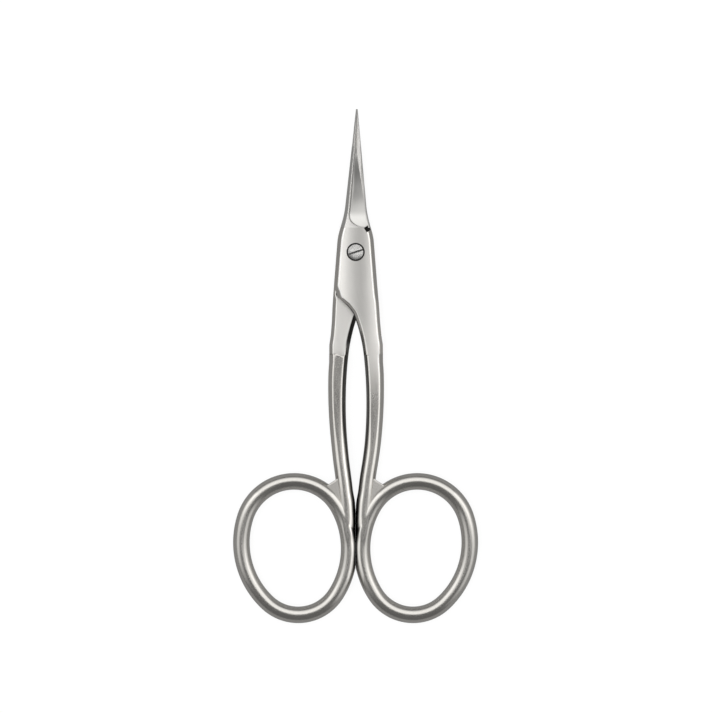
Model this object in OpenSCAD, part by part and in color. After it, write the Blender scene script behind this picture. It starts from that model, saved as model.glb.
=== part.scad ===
// Cuticle scissors lying closed on their back. The pivot axis is +Z at x = 0, y = 0,
// the blades point along +Y and the surface that the scissors lie on is z = 0.
// The front half has its finger ring at +X and the rear half has it at -X.

/* [Body] */
// Thickness of the bar that each half is forged from, which is that of the closed pair too
bar_t = 3.4; // [3:0.05:4]
// Gap between the two halves where they lie on each other
halves_gap = 0.06; // [0.04:0.01:0.1]
// Gap between the two handles where they meet when the scissors are closed
handle_gap = 0.1; // [0.06:0.02:0.3]

/* [Blades] */
// Pivot axis to the tips
blade_len = 29.2; // [24:0.1:34]
// Width across both closed blades at their heel
heel_w = 4.2; // [3.8:0.1:5.2]
// Pivot axis to the heel, where the blades start to flare into the pads
heel_y = 10; // [9:0.1:12]
// Width across the closed tips
tip_w = 0.35; // [0.3:0.05:0.8]
// Sideways lean of the closed tips
tip_lean = 0.25; // [0:0.05:0.4]
// Height that the blades curve up by at their tips
tip_rise = 3.4; // [1.5:0.1:5]
// Thickness of one blade at its tip
tip_t = 0.55; // [0.4:0.05:0.9]
// Thickness of the cutting edge
edge_t = 0.12; // [0.08:0.01:0.25]
// Strip of the blade below that shows beside the cutting edge of the one above, at the heel
heel_offset = 0.45; // [0.35:0.05:0.7]
// That strip near the tips
blade_offset = 0.95; // [0.7:0.05:1.2]
// How far each cutting edge reaches past the centre line where the blades are slender
edge_overlap = 0.08; // [0.04:0.01:0.12]
// Sag of the hollow-ground bevel below a straight one
hollow_sag = 0.12; // [0.05:0.01:0.2]
// Width of the sloping back of a blade at its heel
back_w = 0.8; // [0.5:0.05:1]
// Width of the flat strip along the back of a blade at its heel
land_w = 0.45; // [0.3:0.05:0.7]

/* [Joint pads] */
// Width across the pads at the pivot
pad_w = 7.8; // [7.4:0.05:8.8]
// Taper of each side of the pads, in degrees
pad_taper = 4.5; // [3.5:0.1:5.5]
// Pivot axis to the line where a blade meets its pad
pad_top = 5; // [4.8:0.1:5.5]
// Pivot axis to the lower corner of a pad
pad_corner = 9.2; // [8:0.1:9.6]
// Pivot axis to the line where a pad meets its shank
pad_bottom = 14.5; // [14:0.1:16]
// Rounding of the pads' long edges, across
edge_round = 1.3; // [0.8:0.05:1.4]
// Rounding of the edges where the two halves lie on each other
contact_round = 0.35; // [0.1:0.05:0.5]
// Depth of the notch between the blade's heel and the pad
notch_depth = 1.1; // [0.8:0.1:1.4]
// Length of that notch
notch_len = 1.2; // [0.9:0.1:1.5]

/* [Shanks] */
// Distance of the shank's middle line from the centre line at its crest
shank_bow = 3.9; // [3.6:0.1:4.6]
// Pivot axis to that crest
crest_y = 29.5; // [28:0.5:31]
// Radius of the shank's middle line at the crest
shank_r = 98; // [92:1:115]
// Sideways shift of both shanks at the crest, from how the closed handles settle
shank_shift = 0.1; // [0:0.05:0.2]
// Width of a shank at the pad
shank_top_w = 4.3; // [4:0.1:5]
// Width of a shank at the finger ring
shank_low_w = 3.35; // [3.2:0.05:3.7]
// Pivot axis to the step where a shank gets its full thickness
step_y = 21; // [19:0.5:24]

/* [Finger rings] */
// Pivot axis to the middle of the rings' inner sides
ring_y = 60.75; // [58:0.25:64]
// Distance of the ring's middle line from the centre line there
ring_x = 1.32; // [1.2:0.02:1.5]
// Radius of the middle line along the inner side
ring_inner_r = 17.35; // [16.5:0.05:19]
// Radius of the middle line along the outer side
ring_outer_r = 16.95; // [16:0.05:19]
// Radius of the middle line at the top
ring_top_r = 10.45; // [9.8:0.05:11]
// Radius of the middle line at the bottom
ring_low_r = 9.15; // [8.6:0.05:9.8]
// Angle that the inner side runs up to the top arc
ring_up = 28.8; // [27:0.1:30]
// Angle that the inner side runs down to the bottom arc
ring_down = 32.7; // [31:0.1:34]
// Thickness of the web between the ring and the shank
web_t = 2.2; // [1.6:0.1:3]

/* [Pivot screw] */
// Diameter of the screw's head
head_d = 3.2; // [2.9:0.05:3.6]
// Thickness of the head's rim
head_t = 0.55; // [0.4:0.05:0.7]
// Height of the head's dome above its rim
dome_h = 0.26; // [0.1:0.02:0.3]
// Gap between the head and its counterbore, all round
head_gap = 0.2; // [0.1:0.02:0.3]
// Diameter of the shoulder that the front half turns on
shoulder_d = 2.6; // [2.3:0.05:2.8]
// Running clearance round the shoulder and under the head
run_gap = 0.03; // [0.02:0.01:0.06]
// Outer diameter of the thread
thread_d = 2.4; // [2:0.05:2.5]
// Pitch of the thread
thread_pitch = 0.45; // [0.35:0.05:0.5]
// Depth of the thread
thread_depth = 0.22; // [0.15:0.01:0.26]
// Clearance round the thread
thread_gap = 0.02; // [0.01:0.01:0.04]
// Depth of the screw's end below the back face
end_recess = 0.15; // [0.1:0.05:0.4]
// Width of the driver slot
slot_w = 0.35; // [0.25:0.05:0.5]
// Depth of the driver slot
slot_t = 0.45; // [0.25:0.05:0.5]
// Angle of the driver slot
slot_turn = 18; // [0:1:180]

/* [Hidden] */
steel = [0.78, 0.77, 0.74];
bright_steel = [0.86, 0.86, 0.85];
$fn = 64;

// Heights: the plane between the halves, and one half's thickness
mid_z = bar_t / 2;
half_t = (bar_t - halves_gap) / 2;

// Blade: where it starts to curve, the run of its bevel's round end, and its tip
curve_start = pad_top;
curve_len = blade_len - curve_start;
blade_step = 1.75;
heel_round = 2.6;
heel_step = 0.52;
tip_point = tip_w / 3;
strip_start = 2;
strip_run = 11;

// Pad and shank: places where one shape turns into the next
pad_flare_end = 2.2;
flare_power = 1.35;
corner_run = 2.5;
corner_in = 0.8;
sweep_run = 4;
taper_run = 12;
taper_in = 1.4;
shift_run = 8;
step_run = 0.6;
round_len = 16;
row_step = 0.75;
shank_step = 2;
side_join = 4;
ring_step = 5;
wire_sides = 16;

// Handles: where the shank's middle line ends inside the ring's inner side
merge_y = ring_y - 3.25;
merge_x = ring_x + 0.43;
web_y = -merge_y + 11;
web_drop = 1.1;

function mix(a, b, u) = a + (b - a) * u;
function clamp01(u) = min(1, max(0, u));
function smooth(u) = let (v = clamp01(u)) v * v * (3 - 2 * v);
// Height of the plane between the blades, a circle's arc that leaves the level at curve_start
curve_r = (curve_len * curve_len + tip_rise * tip_rise) / (2 * tip_rise);
function lift(r) = curve_r - sqrt(pow(curve_r, 2) - pow(max(0, r - curve_start), 2));

// Half the width across both halves, from the tips down to the shanks
function blade_half_w(y) = mix(heel_w, tip_w, (y - heel_y) / (blade_len - heel_y)) / 2;
function pad_half_w(y) = pad_w / 2 - y * tan(pad_taper);
function flare(y) = smooth(pow(clamp01((heel_y - y) / (heel_y - pad_flare_end)), flare_power));
function body_half_w(y) = mix(blade_half_w(y), pad_half_w(y), flare(y));
// How far both halves stand to +X at y, at the blades and at the shanks
function lean(y) = tip_lean * clamp01((y - pad_top) / curve_len)
    + shank_shift * smooth((-y - pad_top) / pad_bottom) * smooth((y - web_y) / shift_run);

// Middle line of a shank: two tangent arcs from the crest down to the ring
s_turn = 2 * atan((shank_bow - merge_x) / (merge_y - crest_y));
low_r = (merge_y - crest_y) / sin(s_turn) - shank_r;
turn_y = -crest_y - shank_r * sin(s_turn);
function shank_x(y) = y > turn_y
    ? shank_bow - shank_r + sqrt(pow(shank_r, 2) - pow(y + crest_y, 2))
    : merge_x + low_r - sqrt(pow(low_r, 2) - pow(min(0, -merge_y - y), 2));
round_top = -crest_y - round_len;
function shank_w(y) =
    mix(shank_low_w, shank_top_w, pow(max(0, y - round_top) / (-pad_bottom - round_top), 2));
function shank_out(y) = shank_x(y) + shank_w(y) / 2;
function shank_in(y) = shank_x(y) - shank_w(y) / 2;

// Outer side and inner side of the front half below its blade
function out_x(y) =
    mix(body_half_w(y), shank_out(y), smooth((-y - pad_bottom + side_join) / (2 * side_join)));
function sweep_x(y) =
    let (
        steep = pow(1 - clamp01((-pad_corner - y) / sweep_run), 2),
        slow = pow(1 - clamp01((-pad_corner - y) / taper_run), 2),
        inset = body_half_w(-pad_corner) - corner_in + shank_in(-pad_corner)
    )
    shank_in(y) - (inset - taper_in) * steep - taper_in * slow;
function in_x(y) = y > -pad_corner
    ? -body_half_w(y) + corner_in * smooth((-y - pad_corner + corner_run) / corner_run)
    : sweep_x(y);

// A point of a half: side is 1 for the front half and -1 for the rear one,
// and x and h are measured on the front half
function place(side, x, y, h) = [
    side * x + lean(y),
    y,
    mid_z + side * (halves_gap / 2 + h) + (y > 0 ? lift(norm([x, y])) : 0)
];

// Levels from one y up to another, at most a step apart
function levels(from, to, step) =
    let (n = ceil((to - from) / step)) [for (i = [0 : n]) from + i * (to - from) / n];

// A closed solid through rows of points, each row a ring at one y
module loft(rows) {
    n = len(rows[0]);
    last = len(rows) - 1;
    polyhedron(
        points = [for (row = rows) each row],
        faces = concat(
            [[for (i = [0 : n - 1]) i]],
            [[for (i = [n - 1 : -1 : 0]) last * n + i]],
            [for (k = [0 : last - 1], i = [0 : n - 1], half = [0, 1])
                let (a = k * n + i, b = k * n + (i + 1) % n)
                half == 0 ? [a, a + n, b] : [b, a + n, b + n]]
        )
    );
}

// Sharp points of the bar's outline are rounded by quarter ellipses, from the outer top corner round
function quarter(x, h, rx, rh, start) =
    [for (i = [0 : 3]) [x + rx * cos(start + i * 30), h + rh * sin(start + i * 30)]];

// Section of a half at y. Above step_y it has half the thickness and below it the full one
function bar_section(y) =
    let (
        full = smooth((-y - step_y + step_run) / step_run),
        low = mix(0, -half_t - halves_gap, full),
        round_u = smooth((-y - pad_bottom) / (-pad_bottom - round_top)),
        xl = in_x(y),
        xr = out_x(y),
        rx = mix(edge_round, (xr - xl) / 2 - 0.1, round_u),
        rh = mix(edge_round * 0.8, bar_t / 2 - 0.1, round_u),
        bx = mix(contact_round, rx, full),
        bh = mix(contact_round, rh, full)
    )
    concat(
        quarter(xr - rx, half_t - rh, rx, rh, 0),
        quarter(xl + rx, half_t - rh, rx, rh, 90),
        quarter(xl + bx, low + bh, bx, bh, 180),
        quarter(xr - bx, low + bh, bx, bh, 270)
    );
// A handle stops at the plane where it meets the other handle
function bar_row(side, y) =
    [for (p = bar_section(y)) place(side, y < -step_y ? max(p[0], handle_gap / 2) : p[0], y, p[1])];

// Section of a blade at y: back, flat strip, hollow bevel and cutting edge
function strip_w(y) = heel_offset * smooth((y - pad_top) / strip_start)
    + (blade_offset - heel_offset) * smooth((y - heel_y) / strip_run);
function edge_x(y) = max(edge_overlap, mix(
    blade_half_w(y) - strip_w(y),
    tip_point,
    pow(clamp01((y - pad_top) / curve_len), 6)
));
function back_x(y) = -body_half_w(y);
function blade_t(y) = mix(half_t, tip_t, clamp01((y - curve_start) / curve_len));
function blade_section(y) =
    let (
        u = (y - pad_top) / curve_len,
        t = blade_t(y),
        xs = back_x(y),
        xe = max(edge_x(y), xs + tip_w * 0.7),
        crest = xs + mix(back_w, (xe - xs) * 0.35, u),
        deep = smooth((y - pad_top) / heel_round),
        start = mix(xe - 0.1, min(crest + mix(land_w, 0.02, u), mix(xs, xe, 0.55)), sqrt(deep)),
        te = mix(t, edge_t, deep)
    )
    [
        [xe, 0],
        [xe, te],
        [mix(xe, start, 0.33), mix(te, t, 0.33) - hollow_sag * deep * (1 - u)],
        [mix(xe, start, 0.67), mix(te, t, 0.67) - hollow_sag * deep * (1 - u)],
        [start, t],
        [crest, t],
        [xs, t * 0.4],
        [xs, 0]
    ];
function blade_row(side, y) = [for (p = blade_section(y)) place(side, p[0], y, p[1])];

module blade(side) {
    rows = concat(
        levels(pad_top, pad_top + heel_round - heel_step, heel_step),
        levels(pad_top + heel_round, blade_len, blade_step)
    );
    loft([for (y = rows) blade_row(side, y)]);
}

module joint_pad(side) {
    loft([for (y = levels(-pad_bottom, pad_top, row_step)) bar_row(side, y)]);
}

// Plan of the shank's side of the seam between shank and ring, which runs midway between their middle lines
module seam_plan() {
    polygon([
        [-handle_gap, -merge_y],
        [merge_x, -merge_y],
        [mid_x(-merge_y + 4), -merge_y + 4],
        [mid_x(-merge_y + 8), -merge_y + 8],
        [mid_x(web_y), web_y],
        [shank_bow + 2 * bar_t, web_y + bar_t],
        [shank_bow + 2 * bar_t, 0],
        [-handle_gap, 0]
    ]);
}

// Flat web in the crotch, run into both bars
module web() {
    low = -merge_y + 5.5;
    translate([0, 0, mid_z - web_t / 2])
    linear_extrude(web_t)
    polygon([
        [shank_x(web_y) + shank_low_w / 4, web_y],
        [ring_side_x(web_y - web_drop) + bar_t / 4, web_y - web_drop],
        [ring_side_x(low), low],
        [shank_x(low), low]
    ]);
}

module on_side(side) {
    if (side > 0) children();
    else translate([0, 0, bar_t]) rotate([0, 180, 0]) children();
}

module shank(side) {
    rows = concat(
        levels(-merge_y - 1, -step_y, shank_step),
        levels(-step_y + step_run, -pad_bottom, shank_step)
    );
    difference() {
        intersection() {
            loft([for (y = rows) bar_row(side, y)]);
            on_side(side) translate([0, 0, -1]) linear_extrude(bar_t + 2) seam_plan();
        }
        on_side(side) web();
    }
}

// Finger ring: four arcs of round wire that run into each other
inner_c = [ring_x + ring_inner_r, -ring_y];
top_c = inner_c + (ring_inner_r - ring_top_r) * [-cos(ring_up), sin(ring_up)];
low_c = inner_c + (ring_inner_r - ring_low_r) * [-cos(ring_down), -sin(ring_down)];
between = low_c - top_c;
span = norm(between);
reach_top = ring_outer_r - ring_top_r;
reach_low = ring_outer_r - ring_low_r;
along = (pow(reach_top, 2) - pow(reach_low, 2) + pow(span, 2)) / (2 * span);
aside = sqrt(pow(reach_top, 2) - pow(along, 2));
outer_c = top_c + (along * between + aside * [between[1], -between[0]]) / span;
outer_up = atan2(top_c[1] - outer_c[1], top_c[0] - outer_c[0]);
outer_down = atan2(low_c[1] - outer_c[1], low_c[0] - outer_c[0]);

// Middle line of the ring's inner side, and the line midway between it and the shank's
function ring_side_x(y) = inner_c[0] - sqrt(pow(ring_inner_r, 2) - pow(y - inner_c[1], 2));
function mid_x(y) = (ring_side_x(y) + shank_x(y)) / 2;

// Stations along the ring's middle line: centre and radius of the arc, and the angle on it
function arc_stations(c, r, from, to) =
    let (n = ceil((to - from) / ring_step)) [for (i = [0 : n - 1]) [c, r, from + i * (to - from) / n]];
ring_stations = concat(
    arc_stations(outer_c, ring_outer_r, outer_down, outer_up),
    arc_stations(top_c, ring_top_r, outer_up, 180 - ring_up),
    arc_stations(inner_c, ring_inner_r, 180 - ring_up, 180 + ring_down),
    arc_stations(low_c, ring_low_r, 180 + ring_down, 360 + outer_down)
);
// Point of the wire's skin at a station, flattened where it meets the other handle
function wire_point(st, turn) =
    let (p = st[0] + (st[1] + bar_t / 2 * cos(turn)) * [cos(st[2]), sin(st[2])])
    [max(handle_gap / 2, p[0]), p[1], mid_z + bar_t / 2 * sin(turn)];

module wire_ring() {
    n = len(ring_stations);
    polyhedron(
        points = [for (st = ring_stations, i = [0 : wire_sides - 1]) wire_point(st, i * 360 / wire_sides)],
        faces = [for (k = [0 : n - 1], i = [0 : wire_sides - 1], half = [0, 1])
            let (
                a = k * wire_sides + i,
                b = k * wire_sides + (i + 1) % wire_sides,
                c = ((k + 1) % n) * wire_sides + i,
                d = ((k + 1) % n) * wire_sides + (i + 1) % wire_sides
            )
            half == 0 ? [a, b, c] : [b, d, c]]
    );
}

module finger_ring(side) {
    on_side(side) {
        difference() {
            wire_ring();
            translate([0, 0, -1]) linear_extrude(bar_t + 2) seam_plan();
        }
        web();
    }
}

// Screw: head, shoulder and ring-shaped threads
head_z = bar_t - head_t;
thread_top = mid_z - halves_gap / 2;
thread_n = floor((thread_top - end_recess) / thread_pitch);
function thread_outline(grow) =
    let (
        core = thread_d / 2 - thread_depth + grow,
        low = end_recess - (grow > 0 ? 1 : 0),
        high = thread_top + run_gap
    )
    concat(
        [[0, low], [core, low]],
        [for (i = [0 : thread_n - 1], k = [0, 1])
            [core + k * thread_depth, thread_top - (thread_n - i - k / 2) * thread_pitch]],
        [[core, high], [0, high]]
    );

module screw_holes(side) {
    if (side > 0) {
        translate([0, 0, mid_z - 1]) cylinder(d = shoulder_d + 2 * run_gap, h = bar_t);
        translate([0, 0, head_z - run_gap]) cylinder(d = head_d + 2 * head_gap, h = bar_t);
    } else {
        rotate_extrude() polygon(thread_outline(thread_gap));
    }
}

module notch(side) {
    y = pad_top - notch_len / 2;
    on_side(side) translate([body_half_w(y), y, 0])
    rotate([0, 0, 45])
    translate([-notch_depth * 0.75, -notch_len * 0.35, mid_z])
    cube([3, notch_len * 0.7, 3]);
}

module front_blade() {
    color(bright_steel) blade(1);
}

module front_joint_pad() {
    color(steel) difference() {
        joint_pad(1);
        screw_holes(1);
        notch(1);
    }
}

module front_shank() {
    color(steel) shank(1);
}

module front_finger_ring() {
    color(steel) finger_ring(1);
}

module rear_blade() {
    color(bright_steel) blade(-1);
}

module rear_joint_pad() {
    color(steel) difference() {
        joint_pad(-1);
        screw_holes(-1);
        notch(-1);
    }
}

module rear_shank() {
    color(steel) shank(-1);
}

module rear_finger_ring() {
    color(steel) finger_ring(-1);
}

module pivot_screw() {
    dome_r = (pow(head_d / 2, 2) + pow(dome_h, 2)) / (2 * dome_h);
    color(bright_steel) difference() {
        union() {
            rotate_extrude() polygon(thread_outline(0));
            translate([0, 0, mid_z]) cylinder(d = shoulder_d, h = head_z - mid_z + head_t / 2);
            translate([0, 0, head_z]) cylinder(d = head_d, h = head_t);
            intersection() {
                translate([0, 0, head_z]) cylinder(d = head_d, h = head_t + 1);
                translate([0, 0, bar_t + dome_h - dome_r]) sphere(r = dome_r, $fn = 128);
            }
        }
        rotate([0, 0, slot_turn])
        translate([-head_d, -slot_w / 2, bar_t + dome_h - slot_t])
        cube([2 * head_d, slot_w, 1]);
    }
}

front_blade();
front_joint_pad();
front_shank();
front_finger_ring();
rear_blade();
rear_joint_pad();
rear_shank();
rear_finger_ring();
pivot_screw();
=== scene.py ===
# %% [markdown]
# # Cuticle scissors
# Two forged steel halves lie closed on a white table: each has a finger ring, a slender shank, a joint
# pad and a short blade with a hollow-ground bevel. A slotted screw holds them together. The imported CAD
# model is the frame that the pieces here are fitted to, so it is loaded first and its box is kept.

# %% Frame
import math

import bmesh
import bpy
from mathutils import Matrix, Vector


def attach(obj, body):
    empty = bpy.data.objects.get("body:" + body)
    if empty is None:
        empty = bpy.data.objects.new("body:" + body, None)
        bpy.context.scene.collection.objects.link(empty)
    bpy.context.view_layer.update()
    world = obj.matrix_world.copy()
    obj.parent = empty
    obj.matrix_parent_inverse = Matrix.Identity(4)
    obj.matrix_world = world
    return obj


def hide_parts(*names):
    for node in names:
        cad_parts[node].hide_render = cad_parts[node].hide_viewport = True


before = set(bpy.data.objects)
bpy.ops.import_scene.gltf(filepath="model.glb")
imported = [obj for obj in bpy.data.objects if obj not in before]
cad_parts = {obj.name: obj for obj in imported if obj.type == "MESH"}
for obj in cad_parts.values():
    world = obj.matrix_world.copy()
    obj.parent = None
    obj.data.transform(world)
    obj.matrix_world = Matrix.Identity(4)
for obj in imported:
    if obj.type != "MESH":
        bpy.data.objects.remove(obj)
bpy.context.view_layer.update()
print("nodes", sorted(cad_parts))

# %% [markdown]
# ## Sizes
# All the shapes are worked out in millimetres, with the pivot axis at x = 0, y = 0 and the table at z = 0,
# and are scaled to metres when a piece is finished. The names are those of the part's own dimensions.

# %% Sizes
MM = 0.001
bar_t = 3.4
halves_gap = 0.06
mid_z = bar_t / 2
half_t = (bar_t - halves_gap) / 2

blade_len = 29.2
heel_w = 4.2
heel_y = 10
tip_w = 0.35
tip_lean = 0.25
tip_rise = 3.4
tip_t = 0.55
edge_t = 0.12

pad_w = 7.8
pad_taper = math.radians(4.5)
pad_top = 5
pad_corner = 9.2
pad_bottom = 14.5
flare_end = 2.2
flare_power = 1.35
curve_len = blade_len - pad_top

shank_bow = 3.9
crest_y = 29.5
shank_r = 98
shank_shift = 0.1
shank_top_w = 4.3
shank_low_w = 3.35
step_y = 21

ring_y = 60.75
ring_x = 1.32
ring_inner_r = 17.35
ring_outer_r = 16.95
ring_top_r = 10.45
ring_low_r = 9.15
ring_up = math.radians(28.8)
ring_down = math.radians(32.7)
merge_y = ring_y - 3.25
merge_x = ring_x + 0.43
web_y = -merge_y + 11
round_top = -crest_y - 16
lean_run = 8
shank_run = 8

# %% [markdown]
# ## Outline of one half
# The outline was ground so that both halves match when they are closed: a straight taper along the blades,
# a flare into the pad, a rounded corner and then a long bowed shank. Each side of it is one function of y,
# because a bar whose two sides are known at every height can be lofted from section to section.


# %% Outline
def mix(a, b, u):
    return a + (b - a) * u


def clamp01(u):
    return min(1, max(0, u))


def smooth(u):
    v = clamp01(u)
    return v * v * (3 - 2 * v)


curve_r = (curve_len**2 + tip_rise**2) / (2 * tip_rise)


def lift(reach):
    """Height that the blades have curved up by at this distance from the pivot."""
    return curve_r - math.sqrt(curve_r**2 - max(0, reach - pad_top) ** 2)


def blade_half_w(y):
    return mix(heel_w, tip_w, (y - heel_y) / (blade_len - heel_y)) / 2


def body_half_w(y):
    pad = pad_w / 2 - y * math.tan(pad_taper)
    flare = smooth(clamp01((heel_y - y) / (heel_y - flare_end)) ** flare_power)
    return mix(blade_half_w(y), pad, flare)


def lean(y):
    """How far both halves stand to +X: the tips lean a little and so do the shanks."""
    tips = tip_lean * clamp01((y - pad_top) / curve_len)
    return tips + shank_shift * smooth((-y - pad_top) / pad_bottom) * smooth((y - web_y) / lean_run)


s_turn = 2 * math.atan((shank_bow - merge_x) / (merge_y - crest_y))
low_r = (merge_y - crest_y) / math.sin(s_turn) - shank_r
turn_y = -crest_y - shank_r * math.sin(s_turn)


def shank_x(y):
    if y > turn_y:
        return shank_bow - shank_r + math.sqrt(shank_r**2 - (y + crest_y) ** 2)
    return merge_x + low_r - math.sqrt(low_r**2 - min(0, -merge_y - y) ** 2)


def shank_w(y):
    return mix(shank_low_w, shank_top_w, (max(0, y - round_top) / (-pad_bottom - round_top)) ** 2)


def out_x(y):
    """The outer side: the pad's, and then the shank's."""
    to_shank = smooth((-y - pad_bottom + shank_run / 2) / shank_run)
    return mix(body_half_w(y), shank_x(y) + shank_w(y) / 2, to_shank)


tuck = 0.8
tuck_run = 2.5
steep_run = 4
slow_run = 12
slow_inset = 1.4
closing = 0.22
closing_y = 48.5
closing_run = 3


def in_x(y):
    """The inner side: it turns in at the pad's corner, swings to the shank and closes in at the handles."""
    if y > -pad_corner:
        return -body_half_w(y) + tuck * smooth((-y - pad_corner + tuck_run) / tuck_run)
    steep = (1 - clamp01((-pad_corner - y) / steep_run)) ** 2
    slow = (1 - clamp01((-pad_corner - y) / slow_run)) ** 2
    shank_in = shank_x(-pad_corner) - shank_w(-pad_corner) / 2
    steep_inset = body_half_w(-pad_corner) - tuck + shank_in - slow_inset
    closed = closing * smooth((-y - closing_y) / closing_run)
    return shank_x(y) - shank_w(y) / 2 - steep_inset * steep - slow_inset * slow - closed


def place(side, x, y, h):
    """A point of the front half, side 1, or the rear half, side -1, at height h over its contact face."""
    rise = lift(math.hypot(x, y)) if y > 0 else 0
    return Vector((side * x + lean(y), y, mid_z + side * (halves_gap / 2 + h) + rise))


print("outline", round(out_x(-crest_y), 2), round(in_x(-crest_y), 2), "mm at the crest of the shank")

# %% [markdown]
# ## Lofting
# A bar that changes its section is a tube. A flat grid has the faces of a tube already: one of its directions
# goes round the bar and the other along it. Its vertices are moved onto the sections, the seam is merged and
# the ends are filled. A UV map in millimetres is written first, because grinding marks follow the bar.


# %% Tube helper
girth = 11


def tube(sections, lengths):
    """A closed bar through sections, which are lists of as many points each. lengths are mm along it."""
    around = len(sections[0])
    along = len(sections) - 1
    bm = bmesh.new()
    bmesh.ops.create_grid(bm, x_segments=around, y_segments=along, size=1)
    uv = bm.loops.layers.uv.new("along")
    for face in bm.faces:
        for loop in face.loops:
            turn = (loop.vert.co.x + 1) / 2
            row = round((loop.vert.co.y + 1) / 2 * along)
            loop[uv].uv = (turn * girth, lengths[row])
    for v in bm.verts:
        column = round((v.co.x + 1) / 2 * around) % around
        row = round((v.co.y + 1) / 2 * along)
        v.co = sections[row][column]
    bmesh.ops.remove_doubles(bm, verts=bm.verts, dist=1e-5)
    bmesh.ops.holes_fill(bm, edges=[e for e in bm.edges if e.is_boundary], sides=0)
    bmesh.ops.recalc_face_normals(bm, faces=bm.faces)
    return bm


def as_object(bm, name):
    """Ends the mesh code: a mesh object from the bmesh, still in millimetres."""
    mesh = bpy.data.meshes.new(name)
    bm.to_mesh(mesh)
    bm.free()
    made = bpy.data.objects.new(name, mesh)
    bpy.context.scene.collection.objects.link(made)
    return made


def combine(body, tool, how):
    """Joins the tool to the body, or cuts it away, and deletes the tool."""
    step = body.modifiers.new("combine", "BOOLEAN")
    step.operation = how
    step.solver = "EXACT"
    step.object = tool
    depsgraph = bpy.context.evaluated_depsgraph_get()
    made = bpy.data.meshes.new_from_object(body.evaluated_get(depsgraph))
    body.modifiers.clear()
    body.data = made
    bpy.data.objects.remove(tool)


def rounded(corners):
    """Points round a polygon of corners (x, h, radius, points), each rounded by its radius."""
    made = []
    for i, (x, h, radius, points) in enumerate(corners):
        here = Vector((x, h))
        before = Vector(corners[i - 1][:2]) - here
        after = Vector(corners[(i + 1) % len(corners)][:2]) - here
        turn = math.pi - before.angle(after, 0)
        reach = radius * math.tan(turn / 2)
        first = here + before.normalized() * min(reach, before.length * 0.48)
        last = here + after.normalized() * min(reach, after.length * 0.48)
        for k in range(points):
            u = k / (points - 1)
            made.append(first.lerp(here, u).lerp(here.lerp(last, u), u))
    return made


# %% [markdown]
# ## Joint pad and shank
# The bar of a half was forged in a die and ground: a flat top, sides that slope at nearly sixty degrees
# because a forging must leave its die, and rounded corners between them. At the joint the two halves are
# half as thick as the bar, and a slanted step below it brings each one to full thickness. Towards the
# finger ring the corners are ground away and the bar becomes round, so the section is mixed with an ellipse.


# %% Bar of a half
corner_r = 0.85
contact_in = 0.42
open_contact_in = 0.72
contact_h = 0.4
open_contact_h = 0.85
flat_points = 5
pad_slope = 0.76
shank_slope = 0.82
inner_slope = 0.6
pad_side_h = 0.3
shank_side_h = 0.38
side_r = 0.3
pad_foot_r = 0.6
open_y = 8.5
open_run = 1.5
step_lip = 0.04
step_foot = 0.19
step_edge = 0.3
rounding_y = 30
rounding_run = 12
# The last points before the lower flat, the inner foot, the inner side and the upper flat.
before_flats = (33, 25, 15, 7)


def with_flat(section, last):
    """Adds points on the flat after the point numbered last, so that the flat can carry a mask and a step."""
    start = section[last]
    end = section[last + 1]
    added = [start.lerp(end, k / (flat_points + 1)) for k in range(1, flat_points + 1)]
    return section[: last + 1] + added + section[last + 1 :]


def bar_section(y):
    """The bar's section at y, as points (x, height on the contact face)."""
    to_shank = smooth((-y - pad_bottom) / shank_run)
    slope = mix(pad_slope, shank_slope, to_shank)
    in_slope = mix(pad_slope, inner_slope, to_shank)
    side_h = mix(pad_side_h, shank_side_h, to_shank)
    fallen = clamp01((-y - step_y) / step_lip)
    settled = clamp01((-y - step_y - step_lip) / (step_foot - step_lip))
    drop = 0.97 * fallen + 0.03 * settled
    low = -(half_t + halves_gap) * drop
    xl = in_x(y)
    xr = out_x(y)
    uncovered = smooth((-y - open_y) / open_run)
    foot = mix(mix(contact_in, open_contact_in, uncovered), slope, drop)
    low_side = mix(mix(contact_h, open_contact_h, uncovered), -halves_gap - side_h, drop)
    foot_r = mix(pad_foot_r, corner_r, drop)
    side_top = max(side_h, low_side + 0.06)
    corners = [
        (xr - slope, half_t, corner_r, 8),
        (xl + in_slope, half_t, corner_r, 8),
        (xl, side_top, side_r, 5),
        (xl, low_side, side_r, 5),
        (xl + foot, low, foot_r, 8),
        (xr - foot, low, foot_r, 8),
        (xr, low_side, side_r, 5),
        (xr, side_top, side_r, 5),
    ]
    section = rounded(corners)
    for last in before_flats:
        section = with_flat(section, last)
    round_u = smooth((-y - rounding_y) / rounding_run)
    if round_u == 0:
        return section
    centre = Vector(((xl + xr) / 2, -halves_gap / 2))
    radii = Vector(((xr - xl) / 2, bar_t / 2))
    made = []
    for p in section:
        turn = math.atan2((p.y - centre.y) / radii.y, (p.x - centre.x) / radii.x)
        wire = centre + Vector((radii.x * math.cos(turn), radii.y * math.sin(turn)))
        made.append(p.lerp(wire, round_u))
    return made


shear_reach = 4
outer_shoulder = 3.95
ramp_growth = 5


def step_shear(x, y):
    """The step runs slanting across the bar, and at the bar's outer shoulder it runs out in a long ramp."""
    off = y + step_y
    slant = 0.6 * clamp01((x - 2.73) / 1.31) - 0.4 * clamp01((x - 2.3) / 0.43)
    ramp = 1 + ramp_growth * smooth((x - outer_shoulder) / 0.5)
    if abs(off) < step_edge:
        moved = off * ramp
    elif abs(off) < shear_reach:
        rate = (shear_reach - step_edge * ramp) / (shear_reach - step_edge)
        moved = math.copysign(step_edge * ramp + (abs(off) - step_edge) * rate, off)
    else:
        moved = off
    return moved - off + slant * smooth(1 - abs(off) / 3)


meet_x = 0.003
crotch_reach = 0.55
crotch_y = 51
crotch_end = 60
near_ring_y = -50


def ring_side_x(y):
    return ring_x + ring_inner_r - math.sqrt(ring_inner_r**2 - (y + ring_y) ** 2)


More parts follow.
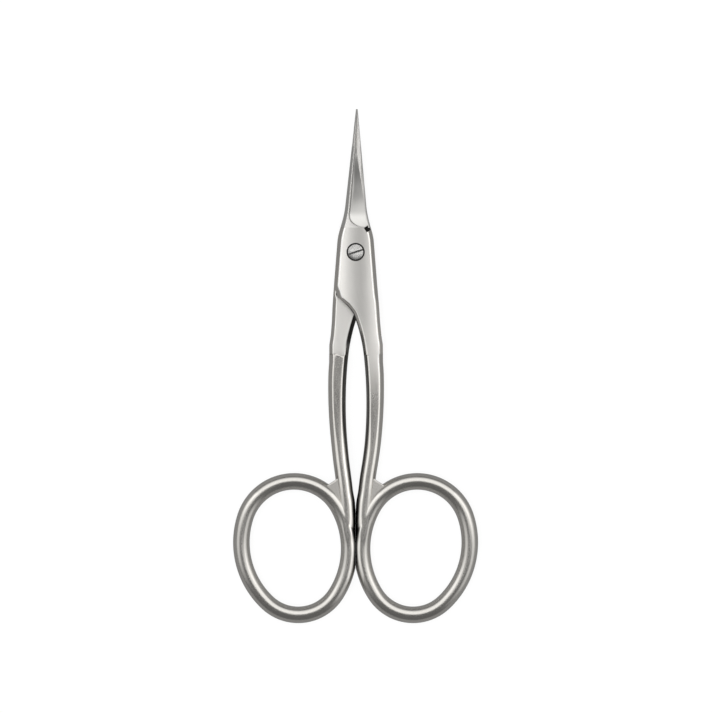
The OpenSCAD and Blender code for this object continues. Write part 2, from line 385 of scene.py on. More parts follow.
def blended(x, y, h, other_off):
    """Height h moved out to a smooth crotch: two wires that meet there are lifted where they are as high."""
    reach = crotch_reach * smooth((-y - crotch_y) / 6) * smooth((y + crotch_end) / 2)
    if reach < 0.01:
        return h
    mid_h = -halves_gap / 2
    own = abs(h - mid_h)
    radius = bar_t / 2
    if other_off < radius:
        other = math.sqrt(radius**2 - other_off**2)
    else:
        other = (radius - other_off) * 3
    near = max(0, 1 - abs(own - other) / reach)
    raised = reach / 4 * (near**2 if own > other else 1)
    height = min(own + raised * smooth(own / radius), radius)
    return mid_h + math.copysign(height, h - mid_h)


bar_end = 58.4
shank_pitch = 0.7
pad_pitch = 0.6
sunk = 0.2
sink_run = 4


def bar(side):
    """The bar from inside the ring's wire to the blade. Its end sinks into the wire."""
    rows = [-bar_end + i * shank_pitch for i in range(53)]
    rows += [-step_y - step_edge, -step_y - step_foot, -step_y - step_lip, -step_y]
    rows += [step_edge - step_y + i * pad_pitch for i in range(42)] + [pad_top]
    sections = []
    for y in rows:
        sink = sunk * smooth((-y - bar_end + sink_run) / sink_run)
        section = []
        for p in bar_section(y):
            x = max(p.x, meet_x) if y < -step_y else p.x
            p_y = y + step_shear(x, y)
            x = mix(x, shank_x(y), sink) if x > shank_x(y) else x
            off = abs(x - ring_side_x(p_y)) if p_y < near_ring_y else bar_t
            h = mix(p.y, -halves_gap / 2, sink)
            section.append(place(side, x, p_y, blended(x, p_y, h, off)))
        sections.append(section)
    return as_object(tube(sections, rows), "bar")


# %% [markdown]
# ## Finger ring
# The ring is round wire bent to an egg shape, which is four arcs that run into each other. Spinning a circle
# about the centre of each arc in turn draws the whole ring. Where it meets the other handle it is ground
# flat.


# %% Arcs of the ring
inner_c = Vector((ring_x + ring_inner_r, -ring_y))
top_c = inner_c + (ring_inner_r - ring_top_r) * Vector((-math.cos(ring_up), math.sin(ring_up)))
low_c = inner_c + (ring_inner_r - ring_low_r) * Vector((-math.cos(ring_down), -math.sin(ring_down)))
between = low_c - top_c
reach_top = ring_outer_r - ring_top_r
reach_low = ring_outer_r - ring_low_r
half_way = (reach_top**2 - reach_low**2 + between.length**2) / (2 * between.length)
sideways = math.sqrt(reach_top**2 - half_way**2)
outer_c = top_c + (half_way * between + sideways * Vector((between.y, -between.x))) / between.length
outer_up = math.atan2(top_c.y - outer_c.y, top_c.x - outer_c.x)
outer_down = math.atan2(low_c.y - outer_c.y, low_c.x - outer_c.x)
arcs = [
    (outer_c, ring_outer_r, outer_down, outer_up),
    (top_c, ring_top_r, outer_up, math.pi - ring_up),
    (inner_c, ring_inner_r, math.pi - ring_up, math.pi + ring_down),
    (low_c, ring_low_r, math.pi + ring_down, 2 * math.pi + outer_down),
]
print("ring", round(outer_c.x + ring_outer_r + bar_t / 2, 2), "mm out to its side")


# %% Wire ring
wire_sides = 40
seam_jump = 20


def along_ring(x, y):
    """Millimetres along the ring's middle line to the point nearest to x, y."""
    done = 0
    best = (1e9, 0)
    for centre, radius, start, end in arcs:
        turn = (math.atan2(y - centre.y, x - centre.x) - start) % (2 * math.pi)
        turn = min(turn, end - start) if turn < math.pi + (end - start) / 2 else 0
        angle = start + turn
        near = centre + radius * Vector((math.cos(angle), math.sin(angle)))
        off = math.hypot(x - near.x, y - near.y)
        best = min(best, (off, done + turn * radius))
        done += (end - start) * radius
    return best[1]


def wire_ring(side):
    """The ring of one half, with its UV map, flattened where the handles meet."""
    bm = bmesh.new()
    centre, radius, start, end = arcs[0]
    heading = Matrix.Rotation(start, 4, "Z")
    middle = Vector((centre.x + radius * math.cos(start), centre.y + radius * math.sin(start), 0))
    upright = Matrix.Translation(middle) @ heading @ Matrix.Rotation(math.pi / 2, 4, "X")
    bmesh.ops.create_circle(bm, segments=wire_sides, radius=bar_t / 2, matrix=upright)
    front = list(bm.verts) + list(bm.edges)
    for centre, radius, start, end in arcs:
        made = bmesh.ops.spin(
            bm,
            geom=front,
            cent=(centre.x, centre.y, 0),
            axis=(0, 0, 1),
            angle=end - start,
            steps=round((end - start) * radius / shank_pitch),
        )
        front = made["geom_last"]
    bmesh.ops.remove_doubles(bm, verts=bm.verts, dist=1e-3)
    bmesh.ops.recalc_face_normals(bm, faces=bm.faces)
    uv = bm.loops.layers.uv.new("along")
    for face in bm.faces:
        middle = face.calc_center_median()
        seam = along_ring(middle.x, middle.y)
        for loop in face.loops:
            co = loop.vert.co
            length = along_ring(co.x, co.y)
            if abs(length - seam) > seam_jump:
                length = seam
            loop[uv].uv = (math.asin(max(-1, min(1, co.z / (bar_t / 2)))) * bar_t, length)
    for v in bm.verts:
        x, y, h = v.co
        x = min(max(x, meet_x), outer_c.x + ring_outer_r + bar_t / 2 - 0.001)
        inner_side = x < 5 and -crotch_end < y < near_ring_y
        off = abs(x - shank_x(y)) if inner_side else bar_t
        v.co = place(side, x, y, blended(x, y, h - halves_gap / 2, off))
    if side < 0:
        bmesh.ops.recalc_face_normals(bm, faces=bm.faces)
    return as_object(bm, "ring")


# %% [markdown]
# ## Web
# A thin plate of steel was left in the crotch between shank and ring, where the die closed. It is one flat
# face, extruded to the web's thickness, and a narrow bevel on its free edge catches the light.


# %% Web plate
web_low_h = 1.1
web_high_h = 1.4
web_rise_y = -46.6
web_rise_len = 6.8
web_rim = 0.26
free_edge_y = -48.8


def web_h(y):
    """Height of the web's face above the middle of the wires: it rises into the crotch."""
    return mix(web_low_h, web_high_h, clamp01((web_rise_y - y) / web_rise_len))


def web(side):
    """The plate in the crotch, with its free edge bevelled on both faces."""
    bm = bmesh.new()
    free_edge = [(3.2, -46.2), (4.0, -46.45), (4.3, -46.8), (4.85, -47.14), (5.35, -47.44), (5.8, -47.75)]
    outline = free_edge + [(7.2, -48.85), (3.6, -54.0), (2.2, -55.2)]
    corners = [bm.verts.new((x, y, -1)) for x, y in outline]
    plate = bm.faces.new(corners)
    grown = bmesh.ops.extrude_face_region(bm, geom=[plate])
    top = [g for g in grown["geom"] if isinstance(g, bmesh.types.BMVert)]
    bmesh.ops.translate(bm, verts=top, vec=(0, 0, 2))
    for v in bm.verts:
        v.co.z *= web_h(v.co.y)
    bmesh.ops.recalc_face_normals(bm, faces=bm.faces)
    edges = []
    for e in bm.edges:
        a, b = (v.co for v in e.verts)
        level = a.z * b.z > 0
        if level and min(a.y, b.y) > free_edge_y:
            edges.append(e)
    bmesh.ops.bevel(
        bm,
        geom=edges,
        offset=web_rim,
        offset_type="OFFSET",
        segments=2,
        profile=0.5,
        affect="EDGES",
        material=-1,
    )
    for v in bm.verts:
        v.co = place(side, v.co.x, v.co.y, v.co.z - halves_gap / 2)
    if side < 0:
        bmesh.ops.recalc_face_normals(bm, faces=bm.faces)
    return as_object(bm, "web")


# %% [markdown]
# ## Bore, counterbore and notch
# The screw's head sits in a counterbore of the front half with a chamfered mouth, and its shoulder in a plain
# bore. A notch was filed where each blade's heel meets its pad, so that the cutting edges can close fully.

# %% Cutters
head_d = 3.2
head_t = 0.55
head_z = bar_t - head_t
head_gap = 0.2
shoulder_d = 2.6
run_gap = 0.03
thread_d = 2.4
thread_gap = 0.02
chamfer = 0.1
end_recess = 0.15
notch_len = 2.6
notch_w = 1.1
notch_tall = 3
notch_floor = 0.25
notch_turn = math.radians(34)
notch_corner = (1.68, 4.92, 0)


def turned(profile, name, steps=96):
    """A closed body turned on the pivot axis from (radius, z) points, the first and last on the axis."""
    bm = bmesh.new()
    points = [bm.verts.new((r, 0, z)) for r, z in profile]
    edges = [bm.edges.new(pair) for pair in zip(points, points[1:])]
    bmesh.ops.spin(
        bm,
        geom=points + edges,
        cent=(0, 0, 0),
        axis=(0, 0, 1),
        angle=2 * math.pi,
        steps=steps,
        use_merge=True,
    )
    bmesh.ops.remove_doubles(bm, verts=bm.verts, dist=1e-4)
    bmesh.ops.recalc_face_normals(bm, faces=bm.faces)
    return as_object(bm, name)


def bore_front():
    bore = shoulder_d / 2 + run_gap
    mouth = head_d / 2 + head_gap
    floor = head_z - run_gap
    profile = [(0, mid_z - 1), (bore, mid_z - 1), (bore, floor), (mouth, floor), (mouth, bar_t - chamfer)]
    profile += [(mouth + 0.03, bar_t - 0.04), (mouth + chamfer, bar_t + 0.02), (mouth + chamfer, 5), (0, 5)]
    return turned(profile, "bore")


def bore_rear():
    hole = thread_d / 2 + thread_gap
    return turned([(0, -1), (hole, -1), (hole, 2.6), (0, 2.6)], "bore")


def notch(side):
    """The file that cuts the notch: a block from the notch's inner corner, open to the side."""
    bm = bmesh.new()
    bmesh.ops.create_cube(bm, size=1)
    bmesh.ops.scale(bm, verts=bm.verts, vec=(notch_len, notch_w, notch_tall))
    middle_z = notch_tall / 2 + mid_z + halves_gap / 2 + notch_floor
    bmesh.ops.translate(bm, verts=bm.verts, vec=(notch_len / 2, -notch_w / 2, middle_z))
    bmesh.ops.rotate(bm, verts=bm.verts, matrix=Matrix.Rotation(notch_turn, 3, "Z"))
    bmesh.ops.translate(bm, verts=bm.verts, vec=notch_corner)
    if side < 0:
        bmesh.ops.rotate(bm, verts=bm.verts, cent=(0, 0, mid_z), matrix=Matrix.Rotation(math.pi, 3, "Y"))
    return as_object(bm, "notch")


# %% Both bodies
def half(side, name):
    """Bar, ring and web of a half as one body, with its bore and its notch cut."""
    body = bar(side)
    combine(body, wire_ring(side), "UNION")
    combine(body, web(side), "UNION")
    combine(body, bore_front() if side > 0 else bore_rear(), "DIFFERENCE")
    combine(body, notch(side), "DIFFERENCE")
    body.name = name
    return body


front_body = half(1, "front_body")
rear_body = half(-1, "rear_body")

# %% [markdown]
# ## Blades
# Each blade is hollow ground: a wheel cut a shallow trough from the crest to the cutting edge and ran out in
# a round end at the heel. The section at every y holds the sloping back, the narrow crest and the trough,
# and its points are set exactly on the trough's border, so that the border stays a crisp line.

# %% Blade sections
strip_low = 0.45
strip_high = 0.95
edge_overlap = 0.08
floor_run = 18
heel_round = 8.2
heel_end = 4.9
floor_climb = (floor_run - heel_end) ** 4 / (half_t - edge_t)
hollow_end = 19.5
hollow_fade = 3
heel_back_w = 0.76
tip_back_w = 0.26
crest_w = 0.28
back_foot_w = 0.8
back_rounding = ((0, 0.42), (0.03, 0.3), (0.2, 0.2), (0.5, 0.09), (0.8, 0.02), (1, 0))


def edge_x(y):
    """The cutting edge: it leaves a strip of the other blade's contact face free, which widens to the tip."""
    widened = smooth((y - heel_y) / 11)
    strip = strip_low * smooth((y - pad_top) / 2) + (strip_high - strip_low) * widened
    tip_u = clamp01((y - pad_top) / curve_len) ** 6
    return max(edge_overlap, mix(blade_half_w(y) - strip, tip_w / 3, tip_u))


def blade_t(y):
    return mix(half_t, tip_t, clamp01((y - pad_top) / curve_len))


def trough(u, deep):
    """Height across the trough from the edge, 0, to its border, 1: a gentle floor and then a steep wall."""
    hollow = 0.42 * u + 0.58 * u**20
    return mix(u, hollow, deep)


def blade_section(y):
    """The blade's section at y, from the cutting edge over the trough and the crest down the sloping back."""
    u = (y - pad_top) / curve_len
    t = blade_t(y)
    deep = 1 - smooth((y - hollow_end) / hollow_fade)
    xs = -body_half_w(y)
    xe = max(edge_x(y), xs + tip_w * 0.6)
    width = xe - xs
    wall = min(mix(heel_back_w, tip_back_w, clamp01(u) ** 0.7), width * 0.4)
    border = min(wall + crest_w, width * 0.6)
    rise = max(0, floor_run - y) ** 4 / floor_climb
    depth = t - edge_t - rise
    round_end = math.sqrt(1 - clamp01((heel_round - y) / (heel_round - heel_end)) ** 2)
    full = (width - border) * round_end
    x_top = xe - full
    across = [0.086 * k for k in range(11)] + [0.86 + 0.14 * k / 12 for k in range(1, 13)]
    made = [Vector((xe - full * w, edge_t + rise + depth * trough(w, deep))) for w in across]
    corner = Vector((xs + wall, t))
    slope = (Vector((xs, 0.3 * t)) - corner).normalized()
    flat = min(0.22, (x_top - xs - wall) * 0.6)
    first = corner + Vector((flat, 0))
    last = corner + slope * 0.45 * min(1, t)
    for k in range(9):
        v = k / 8
        made.append(first.lerp(corner, v).lerp(corner.lerp(last, v), v))
    under = min(back_foot_w, width * 0.3)
    for part, height in back_rounding:
        made.append(Vector((xs + under * part, height * t)))
    made.append(Vector((xe, 0)))
    return made


heel_pitch = 0.16
blade_rows_y = 9
blade_pitch = 0.5


def blade(side, name):
    """One blade, with its sections close together at the heel, where the trough runs out."""
    rows = [pad_top + i * heel_pitch for i in range(25)]
    rows += [blade_rows_y + i * blade_pitch for i in range(40)]
    rows += [blade_len - 0.1, blade_len]
    sections = [[place(side, p.x, y, p.y) for p in blade_section(y)] for y in rows]
    return as_object(tube(sections, rows), name)


front_blade = blade(1, "front_blade_ground")
rear_blade = blade(-1, "rear_blade_ground")
combine(front_blade, notch(1), "DIFFERENCE")
combine(rear_blade, notch(-1), "DIFFERENCE")
print("blades", len(front_blade.data.polygons), "faces each")

# %% [markdown]
# ## Pivot screw
# The screw is turned: a thin slotted head with a low dome, a plain shoulder and a thread that ends just short
# of the rear face. One half of its outline is spun about the axis, and a saw cut makes the driver slot.

# %% Screw
dome_h = 0.26
dome_r = ((head_d / 2) ** 2 + dome_h**2) / (2 * dome_h)
slot_w = 0.4
slot_t = 0.45
slot_turn = math.radians(18)
thread_pitch = 0.45
thread_depth = 0.22


def screw():
    """The turned screw with its driver slot."""
    rim = head_d / 2
    profile = [(0, bar_t + dome_h)]
    for k in range(1, 12):
        r = (rim - 0.06) * k / 11
        profile.append((r, bar_t + dome_h - dome_r + math.sqrt(dome_r**2 - r * r)))
    profile += [(rim - 0.02, bar_t - 0.03), (rim, bar_t - 0.09), (rim, head_z), (shoulder_d / 2, head_z)]
    profile += [(shoulder_d / 2, mid_z), (thread_d / 2 - thread_depth, mid_z)]
    core = thread_d / 2 - thread_depth
    z = mid_z - halves_gap / 2
    while z - thread_pitch > end_recess:
        profile += [(core, z), (core + thread_depth, z - thread_pitch / 2)]
        z -= thread_pitch
    profile += [(core, z), (core - 0.05, end_recess), (0, end_recess)]
    body = turned(profile, "screw")
    bm = bmesh.new()
    bmesh.ops.create_cube(bm, size=1)
    bmesh.ops.scale(bm, verts=bm.verts, vec=(2 * head_d, slot_w, 1))
    bmesh.ops.translate(bm, verts=bm.verts, vec=(0, 0, bar_t + dome_h - slot_t + 0.5))
    bmesh.ops.rotate(bm, verts=bm.verts, matrix=Matrix.Rotation(slot_turn, 3, "Z"))
    combine(body, as_object(bm, "saw"), "DIFFERENCE")
    body.name = "screw_turned"
    return body


pivot = screw()

# %% [markdown]
# ## Surface masks
# The same steel has two finishes. The flats of the joint were blasted to an even satin, and everything that
# the fingers touch was polished. Each corner of a face keeps how much it is polished and how much painted
# shade darkens the steel there, as between the handles. A shade below zero is a painted highlight.


# %% Finish of a mesh
def finish(piece, side, mask, sharp=34):
    """Writes the masks, shades the piece smooth except at its sharp edges, and scales it to metres."""
    mesh = piece.data
    for face in mesh.polygons:
        face.use_smooth = True
    mesh.set_sharp_from_angle(angle=math.radians(sharp))
    polish = mesh.attributes.new("polish", "FLOAT", "CORNER")
    shade = mesh.attributes.new("shade", "FLOAT", "CORNER")
    for loop in mesh.loops:
        co = mesh.vertices[loop.vertex_index].co
        x = side * (co.x - lean(co.y))
        values = mask(x, co.y, co.z, mesh.corner_normals[loop.index].vector)
        polish.data[loop.index].value = values[0]
        shade.data[loop.index].value = values[1]
    mesh.transform(Matrix.Scale(MM, 4))
    mesh.update()


# Strengths of the painted shade and painted highlights that the masks below write.
painted_side_dark = 0.3
painted_shoulder_light = 0.5
painted_band_dark = 0.48
band_x = 0.95
band_half_w = 4.5
rear_painted_shade = 0.24
gap_top = 15.5
gap_low = 66
painted_gap_dark = 0.93
painted_notch_dark = 0.97
painted_shank_dark = 0.66
painted_handle_dark = 0.95
painted_far_dark = 0.58
painted_near_dark = 0.25
painted_slot_dark = 0.9
painted_slot_floor_dark = 0.85
painted_rim_dark = 0.8
body_sharp = 20
blade_sharp = 16


def painted_side_shade(n):
    """Painted shade that darkens the steep sides towards the outline."""
    return painted_side_dark * smooth((0.42 - abs(n.z)) / 0.3)


def painted_shoulder_highlight(n):
    """A painted highlight on the rounded shoulder between a flat and its side, brighter than both."""
    level = abs(n.z)
    return painted_shoulder_light * smooth((0.985 - level) / 0.03) * smooth((level - 0.72) / 0.12)


def painted_band_shade(x):
    """A soft darker band right of the middle of the flats, painted shade where their reflection falls darker.
    """
    return painted_band_dark * smooth(1 - abs(x - band_x) / band_half_w)


def in_notch(x, y, h, n):
    """The filed notch at the heel: its flat floor and its two upright walls are painted black as shade."""
    here = x > 1.5 and 3.6 < y < 6.8 and h > notch_floor - 0.02
    floor = abs(h - notch_floor) < 0.02 and abs(n.z) > 0.9
    wall = abs(n.z) < 0.1 and abs(n.x) > 0.3 and abs(n.y) > 0.3
    return here and (floor or wall)


def body_mask(side):
    """Satin flats on the pads, polished shank and ring, painted shade where the halves face each other
    and in the recesses, and painted highlights on the shoulders.
    """

    def mask(x, y, z, n):
        h = side * (z - mid_z) - halves_gap / 2
        flat = smooth((abs(n.z) - 0.88) / 0.1)
        if side > 0:
            blasted = flat * (1 - smooth((-y - 14) / 20))
        else:
            blasted = flat if z < mid_z + 0.3 else 0
        on_web = abs(abs(h + halves_gap / 2) - web_h(y)) < 0.02
        if on_web and -54.5 < y < -46 and x > shank_x(y):
            blasted = 0
        # Painted shade on the inner walls that face each other between the shanks and handles, darkest where
        # the handles meet.
        inward = smooth((-side * n.x - 0.42) / 0.3)
        window = smooth((-y - gap_top) / 1.5) * smooth((y + gap_low) / 4)
        near = smooth((shank_x(max(min(y, -9), -57)) + 0.2 - x) / 0.6)
        dark = mix(painted_shank_dark, painted_handle_dark, smooth((-y - 48) / 5)) * inward * window * near
        # Painted shadow: a dark line along the foot of the front pad's edge.
        foot = smooth((-y - 9.4) / 1.5) * smooth((1.25 - h) / 0.25) * smooth((-side * n.x - 0.1) / 0.2)
        dark = max(dark, painted_gap_dark * foot * (1 - smooth((-y - 18) / 3)))
        # Painted shade in the counterbore, and painted shadow on the contact faces under the pads, as between
        # the closed halves.
        bore = math.hypot(x, y) < head_d / 2 + head_gap + 0.05 and z < bar_t - 0.02 and side > 0
        contact = abs(h) < 0.02 and y > -9
        if bore or contact:
            dark = painted_gap_dark
        # Painted shade: the notch is black.
        if in_notch(x, y, h, n):
            dark = painted_notch_dark
        # Painted highlight on the rounded shoulders, on the handles only beside their contact.
        beside_contact = -side * n.x > 0.15 and x < 1.6 and y > -68
        reach = 1 if beside_contact else smooth((y + 52) / 6)
        edge = painted_shoulder_highlight(n) * reach * (1 - dark) if abs(n.x) > abs(n.y) else 0
        # Painted shade: a soft darker band across the front flats and a darker rear flat.
        tone = painted_band_shade(x) if side > 0 else rear_painted_shade
        return 1 - blasted, max(dark, painted_side_shade(n)) - edge + blasted * tone * (1 - dark)

    return mask


def blade_mask(side):
    """Satin land and contact face, a polished trough with painted shade along it, and painted shade on the
    land.
    """

    def mask(x, y, z, n):
        h = side * (z - mid_z - lift(math.hypot(x, y))) - halves_gap / 2
        # Painted shade: the notch is black.
        if in_notch(x, y, h, n):
            return 1, painted_notch_dark
        level = abs(n.z)
        land = smooth((level - 0.85) / 0.08) * smooth((h - blade_t(y) + 0.15) / 0.08)
        inside = smooth((level - 0.6) / 0.1) if abs(h) < 0.03 or y > 21.5 else 0
        below_crest = smooth((blade_t(y) - 0.1 - h) / 0.1)
        floor = smooth((level - 0.8) / 0.1) * below_crest * smooth((h - 0.05) / 0.05)
        # Painted shade in the trough: slight near the heel, strongest towards the end of the hollow.
        far = painted_far_dark * smooth((y - 12.5) / 5) * (1 - smooth((y - 21) / 2))
        near = painted_near_dark * smooth((y - 7) / 1.5) * (1 - smooth((y - 11) / 3))
        # The same painted band of shade on the blade's land.
        tone = land * painted_band_shade(side * x)
        return 1 - max(land, inside), max(painted_side_shade(n), floor * (far + near), tone)

    return mask


def screw_mask(x, y, z, n):
    """All polished. The slot and the upright rim in the counterbore's gap carry painted shade."""
    slot_wall = painted_slot_dark if z < bar_t + 0.02 and abs(n.z) < 0.5 else 0
    floor = painted_slot_floor_dark if abs(z - (bar_t + dome_h - slot_t)) < 0.01 else 0
    return 1, max(slot_wall, floor, painted_rim_dark * smooth((0.5 - abs(n.z)) / 0.3))


finish(front_body, 1, body_mask(1), body_sharp)
finish(rear_body, -1, body_mask(-1), body_sharp)
finish(front_blade, 1, blade_mask(1), blade_sharp)
finish(rear_blade, -1, blade_mask(-1), blade_sharp)
finish(pivot, 1, screw_mask)

# %% [markdown]
# ## Shader maths
# Node trees are easier to read as expressions. This small class wraps one socket of a tree, so that a sum or
# a product of values adds the Math node it needs, and any other node comes from one method.


# %% Socket wrapper
class Value:
    def __init__(self, tree, socket):
        self.tree = tree
        self.socket = socket

    def node(self, kind, settings=None, out=0, **sockets):
        made = self.tree.nodes.new(kind)
        for key, setting in (settings or {}).items():
            setattr(made, key, setting)
        for key, value in sockets.items():
            number = key[1:].isdigit()
            place_in = made.inputs[int(key[1:]) if number else key.replace("_", " ")]
            if isinstance(value, Value):
                self.tree.links.new(value.socket, place_in)
            else:
                place_in.default_value = value
        return Value(self.tree, made.outputs[out] if made.outputs else None)

    def maths(self, operation, a, b=0.0, c=0.0):
        return self.node("ShaderNodeMath", {"operation": operation}, i0=a, i1=b, i2=c)

    def __add__(self, other):
        return self.maths("ADD", self, other)

    def __radd__(self, other):
        return self.maths("ADD", other, self)

    def __sub__(self, other):
        return self.maths("SUBTRACT", self, other)

    def __rsub__(self, other):
        return self.maths("SUBTRACT", other, self)

    def __mul__(self, other):
        return self.maths("MULTIPLY", self, other)

    def __truediv__(self, other):
        return self.maths("DIVIDE", self, other)

    def __pow__(self, other):
        return self.maths("POWER", self, other)

    def ramp(self, low, high):
        """0 below low and 1 above high, with a soft turn at both."""
        settings = {"interpolation_type": "SMOOTHSTEP"}
        return self.node("ShaderNodeMapRange", settings, i0=self, i1=low, i2=high, i3=0.0, i4=1.0)

    def tint(self, dark, light):
        """The colour between dark and light that this value stands for."""
        settings = {"data_type": "RGBA"}
        return self.node("ShaderNodeMix", settings, out=2, i0=self, i6=(*dark, 1), i7=(*light, 1))


def new_tree(owner):
    owner.use_nodes = True
    tree = owner.node_tree
    tree.nodes.clear()
    return tree, Value(tree, None)


# %% [markdown]
# ## Steel
# Polished steel is a metal with a low roughness. What makes it look real is what breaks the mirror up: fine
# grinding lines along the bar, the slanting marks of a buffing wheel, the even grain of blasting on the
# flats, and a faint cloudiness. The masks choose between the finishes, and one function mixes the steel of
# every piece. The screw's head also has the fine rings that a lathe leaves.


# %% Steel material
lathe_pitch = 0.13 * MM
bump_height = 0.02 * MM


def steel(name, bright, blasted, polished_roughness, satin_roughness, hatch, lathe=0.0):
    """Steel with a polished and a blasted finish. hatch and lathe are how deep those marks are."""
    material = bpy.data.materials.new(name)
    tree, new = new_tree(material)
    place_on = new.node("ShaderNodeTexCoord", out=3)
    along = new.node("ShaderNodeUVMap", {"uv_map": "along"})
    polish = new.node("ShaderNodeAttribute", {"attribute_name": "polish"}, out=2)
    shade = new.node("ShaderNodeAttribute", {"attribute_name": "shade"}, out=2)
    streak_at = new.node("ShaderNodeMapping", i0=along, i3=(7.0, 0.35, 1.0))
    flat_noise = {"noise_dimensions": "2D"}
    streaks = new.node("ShaderNodeTexNoise", flat_noise, Vector=streak_at, Scale=1.0, Detail=4.0)
    hatch_at = new.node("ShaderNodeMapping", i0=along, i2=(0.0, 0.0, 0.6), i3=(2.2, 16.0, 1.0))
    hatches = new.node("ShaderNodeTexNoise", flat_noise, Vector=hatch_at, Scale=1.0, Detail=3.0)
    grain = new.node("ShaderNodeTexNoise", Vector=place_on, Scale=9000.0, Detail=2.0)
    cloud = new.node("ShaderNodeTexNoise", Vector=place_on, Scale=160.0, Detail=3.0)
    satin = 1 - polish
    worn = (cloud - 0.5) * 0.10 + (streaks - 0.5) * 0.10 * polish + (grain - 0.5) * 0.12 * satin
    # shade darkens the colour with the masks' painted shade, and below zero brightens it with painted
    # highlights.
    level = (worn + 1.0) * (1 - shade)
    bare = polish.tint(blasted, bright)
    colour = new.node(
        "ShaderNodeMix",
        {"data_type": "RGBA", "blend_type": "MULTIPLY"},
        out=2,
        i0=1.0,
        i6=bare,
        i7=level,
    )
    rough = satin * (satin_roughness - polished_roughness) + polished_roughness
    rough = rough + (streaks - 0.5) * 0.08 + (cloud - 0.5) * 0.05
    height = (grain - 0.5) * satin * 0.5 + ((streaks - 0.5) * 0.5 + (hatches - 0.5) * hatch) * polish
    if lathe > 0:
        across = new.node("ShaderNodeVectorMath", {"operation": "MULTIPLY"}, i0=place_on, i1=(1.0, 1.0, 0.0))
        radius = new.node("ShaderNodeVectorMath", {"operation": "LENGTH"}, out=1, i0=across)
        rings = radius.maths("SINE", radius * (2 * math.pi / lathe_pitch))
        height = height + rings * lathe
    bump = new.node("ShaderNodeBump", Height=height, Strength=0.25, Distance=bump_height)
    shader = new.node(
        "ShaderNodeBsdfPrincipled",
        Base_Color=colour,
        Metallic=1 - satin * 0.3,
        Roughness=rough,
        Normal=bump,
    )
    new.node("ShaderNodeOutputMaterial", Surface=shader)
    return material


satin_steel = steel(
    "satin_steel",
    bright=(0.66, 0.64, 0.605),
    blasted=(0.92, 0.90, 0.865),
    polished_roughness=0.24,
    satin_roughness=0.48,
    hatch=0.08,
)
blade_steel = steel(
    "blade_steel",
    bright=(0.68, 0.67, 0.645),
    blasted=(0.92, 0.90, 0.87),
    polished_roughness=0.3,
    satin_roughness=0.45,
    hatch=0.2,
)
screw_steel = steel(
    "screw_steel",
    bright=(0.85, 0.84, 0.82),
    blasted=(0.85, 0.84, 0.82),
    polished_roughness=0.18,
    satin_roughness=0.3,
    hatch=0.1,
    lathe=4.0,
)


# %% Pieces on their bodies
def fit(piece, body, slot, material, *nodes):
    """Gives a piece its steel and lets it ride on its body in place of those nodes."""
    piece.data.materials.clear()
    piece.data.materials.append(material)
    for face in piece.data.polygons:
        face.material_index = 0
    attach(piece, body)
    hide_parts(*nodes)
    print(piece.name, len(piece.data.polygons), "faces ride on", body)


front_nodes = ("front_joint_pad", "front_shank", "front_finger_ring")
rear_nodes = ("rear_joint_pad", "rear_shank", "rear_finger_ring")
fit(front_body, "front_half", "satin_steel", satin_steel, *front_nodes)
fit(rear_body, "rear_half", "satin_steel", satin_steel, *rear_nodes)
fit(front_blade, "front_half", "blade_steel", blade_steel, "front_blade")
fit(rear_blade, "rear_half", "blade_steel", blade_steel, "rear_blade")
fit(pivot, "screw", "screw_steel", screw_steel, "pivot_screw")

# %% [markdown]
# ## Table
# The photograph has a plain white ground. A matt white table gives it, and for the camera most of its white
# is its own, so that the ground stays even while the scissors still throw a soft shadow. In the steel the
# table shows as a flat darker grey, a painted reflection that stands in for dark surroundings.

# %% Table
table_r = 3000 * MM
table_drop = 0.03 * MM
own_share = 0.9
painted_reflection_grey = 0.33
bm = bmesh.new()
bmesh.ops.create_circle(bm, cap_ends=True, segments=64, radius=table_r)
bmesh.ops.translate(bm, verts=bm.verts, vec=(0, -20 * MM, -table_drop))
table = as_object(bm, "table_top")
paper = bpy.data.materials.new("white_paper")
tree, new = new_tree(paper)
rays = new.node("ShaderNodeLightPath")
seen = Value(tree, rays.socket.node.outputs["Is Camera Ray"])
mirrored = Value(tree, rays.socket.node.outputs["Is Glossy Ray"])
through = Value(tree, rays.socket.node.outputs["Is Transmission Ray"])
matt = new.node("ShaderNodeBsdfDiffuse", Color=(0.9, 0.9, 0.9, 1))
own = new.node("ShaderNodeEmission", Color=(1, 1, 1, 1), Strength=1.0)
# Painted reflection: the steel sees the table as this flat darker grey.
grey = (painted_reflection_grey, painted_reflection_grey, painted_reflection_grey, 1)
painted_reflection = new.node("ShaderNodeEmission", Color=grey, Strength=1.0)
mixed = new.node("ShaderNodeMixShader", i0=(seen + through) * own_share, i1=matt, i2=own)
mixed = new.node("ShaderNodeMixShader", i0=mirrored, i1=mixed, i2=painted_reflection)
new.node("ShaderNodeOutputMaterial", Surface=mixed)
table.data.materials.append(paper)

# %% [markdown]
# ## Studio light
# Polished steel shows its surroundings, so the light is a room rather than a lamp: a quiet ceiling, a broad
# bright panel behind the tips, a narrow one on either side and nothing at the front. Each panel is a soft
# window in the direction of the sky, and the camera itself sees plain white behind the table. A broad lamp
# overhead lights the table, and the steel doesn't mirror it.


# %% World
world = bpy.data.worlds.new("studio")
bpy.context.scene.world = world
tree, new = new_tree(world)
direction = new.node("ShaderNodeTexCoord")
up = new.node("ShaderNodeSeparateXYZ", out=2, i0=direction)
aside = 1 - up * up
level = aside.maths("MAXIMUM", aside, 0.0001) ** 0.5


def polar(degrees):
    """Height on the unit sphere of a direction that is so many degrees from straight up."""
    return math.cos(math.radians(degrees))


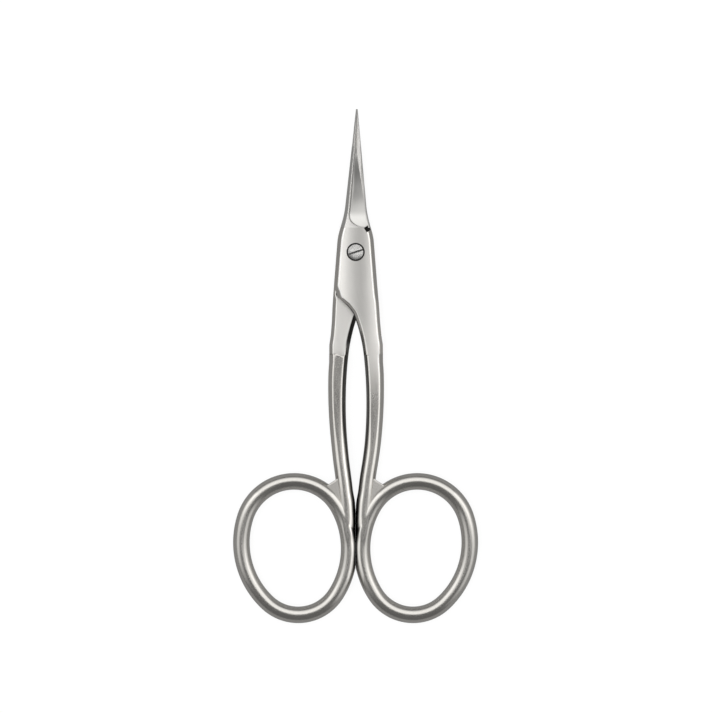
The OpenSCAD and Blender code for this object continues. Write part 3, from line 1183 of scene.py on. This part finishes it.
def window(azimuth, half, fade, top, foot, top_soft, foot_soft):
    """1 inside a window of the room: half and fade are degrees round, the others degrees from straight up."""
    aim = (polar(azimuth), math.sin(math.radians(azimuth)), 0)
    along_aim = new.node("ShaderNodeVectorMath", {"operation": "DOT_PRODUCT"}, out=1, i0=direction, i1=aim)
    towards = along_aim / level
    round_it = towards.ramp(polar(half + fade), polar(half))
    below = 1 - up.ramp(polar(top), polar(top - top_soft))
    above = up.ramp(polar(foot + foot_soft), polar(foot))
    return round_it * below * above


horizon = 1 - up.ramp(polar(87), polar(72))
behind = window(azimuth=82, half=58, fade=36, top=10, foot=36, top_soft=8, foot_soft=34)
on_right = window(azimuth=0, half=12, fade=40, top=45, foot=66, top_soft=18, foot_soft=18)
on_left = window(azimuth=172, half=10, fade=32, top=36, foot=58, top_soft=18, foot_soft=20)
room_light = 0.15
low_light = 0.23
panel_light = 1.2
side_light = 0.7
light = room_light + horizon * low_light + behind * panel_light + on_right * side_light + on_left * side_light
camera_sees = new.node("ShaderNodeLightPath")
strength = light * (1 - camera_sees) + camera_sees
sky = new.node("ShaderNodeBackground", Color=(1, 1, 1, 1), Strength=strength)
new.node("ShaderNodeOutputWorld", Surface=sky)

# %% Ceiling lamp
lamp = bpy.data.lights.new("ceiling", "SUN")
lamp.energy = 2.4
lamp.angle = math.radians(60)
ceiling = bpy.data.objects.new("ceiling", lamp)
ceiling.rotation_euler = (math.radians(12), math.radians(-10), 0)
ceiling.visible_glossy = False
bpy.context.scene.collection.objects.link(ceiling)

# %% [markdown]
# ## Camera
# The scissors were photographed from straight above with a long lens, so nothing leans. The distance is
# chosen so that 713 pixels are 146.09 mm wide at the height of the scissors.

# %% Camera
lens = bpy.data.cameras.new("camera")
lens.lens = 500
lens.sensor_width = 36
lens.clip_start = 0.01
lens.clip_end = 20
camera = bpy.data.objects.new("camera", lens)
camera_distance = 2029.0
view_x = 0.184
view_y = -21.39
camera.location = (view_x * MM, view_y * MM, (camera_distance + mid_z) * MM)
bpy.context.scene.collection.objects.link(camera)
bpy.context.scene.camera = camera
bpy.context.scene.view_settings.view_transform = "Standard"
